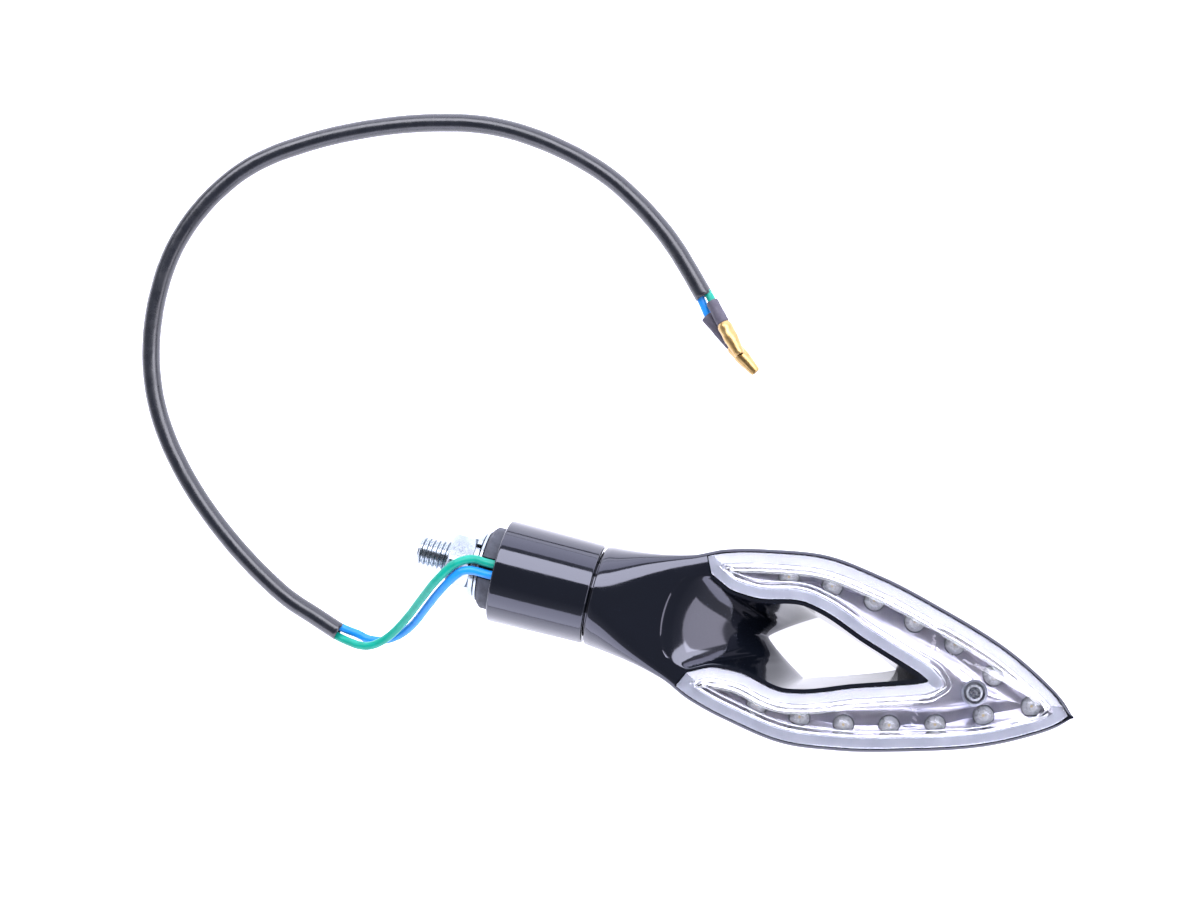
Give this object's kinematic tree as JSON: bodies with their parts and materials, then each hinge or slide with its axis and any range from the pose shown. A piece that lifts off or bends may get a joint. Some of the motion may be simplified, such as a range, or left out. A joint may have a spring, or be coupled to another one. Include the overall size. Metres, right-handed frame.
{
  "type": "motorcycle turn signal indicator",
  "caption": "Arrow-shaped LED turn signal with a clear chevron lens, open centre, black stem, threaded stud with nut and washers, and a sheathed two-wire lead with bullet terminals.",
  "frame": {"origin": "centre of the lamp's footprint, without its free lead, on the surface that the lamp lies on", "axes": "+X runs from the mounting stud to the tip of the arrow, +Y is across the lamp, +Z is out through the lens"},
  "size_m": [0.263, 0.1453, 0.027],
  "materials": {
    "black_abs": "glossy black ABS",
    "clear_lens": "clear polycarbonate",
    "chrome_reflector": "vacuum-metallised reflector",
    "circuit_board": "green solder resist",
    "clear_resin": "water-clear LED resin",
    "resistor_body": "lacquered resistor body",
    "black_epoxy": "moulded black epoxy",
    "screw_steel": "plated screw",
    "black_rubber": "matte dark rubber",
    "bright_zinc": "bright zinc plate",
    "green_insulation": "green PVC insulation",
    "blue_insulation": "blue PVC insulation",
    "black_sheath": "soft black PVC sheath",
    "grey_heat_shrink": "matte grey heat-shrink",
    "brass_terminal": "plated brass"
  },
  "bodies": {
    "mount": {"mounting_stud": "bright_zinc", "lead_green": "green_insulation", "lead_blue": "blue_insulation", "cable_sheath": "black_sheath", "tail_green": "green_insulation", "tail_blue": "blue_insulation", "heat_shrink_green": "grey_heat_shrink", "heat_shrink_blue": "grey_heat_shrink", "bullet_green": "brass_terminal", "bullet_blue": "brass_terminal"},
    "rubber": {"base_plug": "black_rubber"},
    "lamp": {"head_housing": "black_abs", "front_lens": "clear_lens", "reflector": "chrome_reflector", "led_board": "circuit_board", "led_01": "clear_resin", "led_02": "clear_resin", "led_03": "clear_resin", "led_04": "clear_resin", "led_05": "clear_resin", "led_06": "clear_resin", "led_07": "clear_resin", "led_08": "clear_resin", "led_09": "clear_resin", "led_10": "clear_resin", "led_11": "clear_resin", "led_12": "clear_resin", "led_13": "clear_resin", "resistor_left": "resistor_body", "resistor_right": "resistor_body", "resistor_front": "resistor_body", "diode": "black_epoxy", "lens_screw": "screw_steel", "stem_sleeve": "black_abs", "inner_lead_green": "green_insulation", "inner_lead_blue": "blue_insulation"},
    "washers": {"flat_washer": "bright_zinc", "spring_washer": "bright_zinc"},
    "nut": {"hex_nut": "bright_zinc"}
  },
  "joints": [
    {"name": "flex_fore_aft", "type": "hinge", "parent": "mount", "child": "rubber", "pos_m": [-0.06025, 0, 0.0135], "axis": [0, 1, 0], "range_deg": [-8, 8], "stiffness_Nm_per_rad": 3, "deforming": ["base_plug", "inner_lead_green", "inner_lead_blue"]},
    {"name": "flex_up_down", "type": "hinge", "parent": "rubber", "child": "lamp", "pos_m": [-0.06025, 0, 0.0135], "axis": [0, 0, 1], "range_deg": [-8, 8], "stiffness_Nm_per_rad": 3, "deforming": ["base_plug", "inner_lead_green", "inner_lead_blue"]},
    {"name": "washer_slide", "type": "slide", "parent": "mount", "child": "washers", "axis": [-1, 0, 0], "range_m": [0, 0.008]},
    {"name": "nut_spin", "type": "hinge", "parent": "washers", "child": "nut", "pos_m": [-0.0745, 0, 0.0135], "axis": [-1, 0, 0], "range_deg": [0, 2304]}
  ],
  "couplings": [
    {"joint": "nut_spin", "follows": "washer_slide", "rad_per_m": 5026.5}
  ]
}
